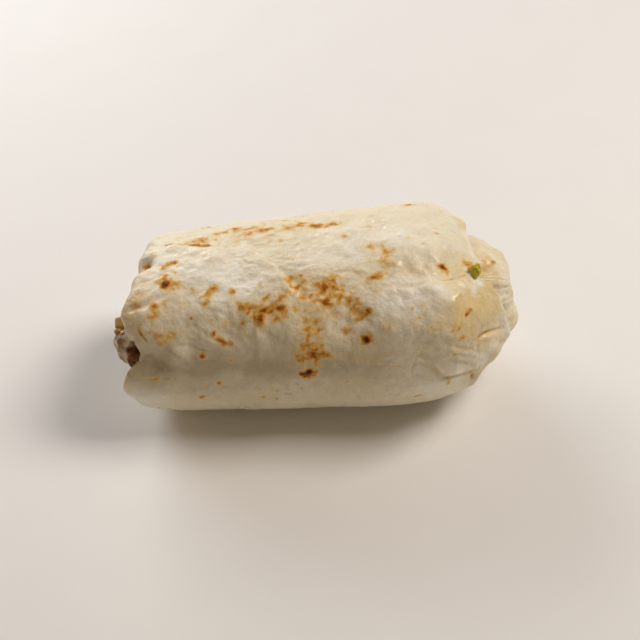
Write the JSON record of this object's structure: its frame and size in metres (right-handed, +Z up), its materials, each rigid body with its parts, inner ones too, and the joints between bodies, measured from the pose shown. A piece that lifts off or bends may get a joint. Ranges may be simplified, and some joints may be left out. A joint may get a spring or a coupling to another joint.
{
  "type": "burrito",
  "caption": "Whole burrito in a toasted flour tortilla, rolled and tucked in at both ends, with filling showing at its open left mouth.",
  "frame": {"origin": "centre of the bounding box's footprint, on the surface that the burrito lies on", "axes": "+X along the roll, from the open mouth towards the tucked-in end; -Y is the front that carries most toasted spots; +Z up"},
  "size_m": [0.1633, 0.0794, 0.075],
  "materials": {
    "tortilla": "soft floury flatbread, mottled, with toasted brown spots",
    "filling": "moist mixed filling with herb flecks",
    "cheese_strip": "soft melted cheese",
    "pepper_bit": "wet green pepper skin"
  },
  "bodies": {
    "root": {"tortilla": "tortilla", "filling": "filling", "cheese_strip": "cheese_strip", "pepper_bit": "pepper_bit"}
  },
  "joints": []
}
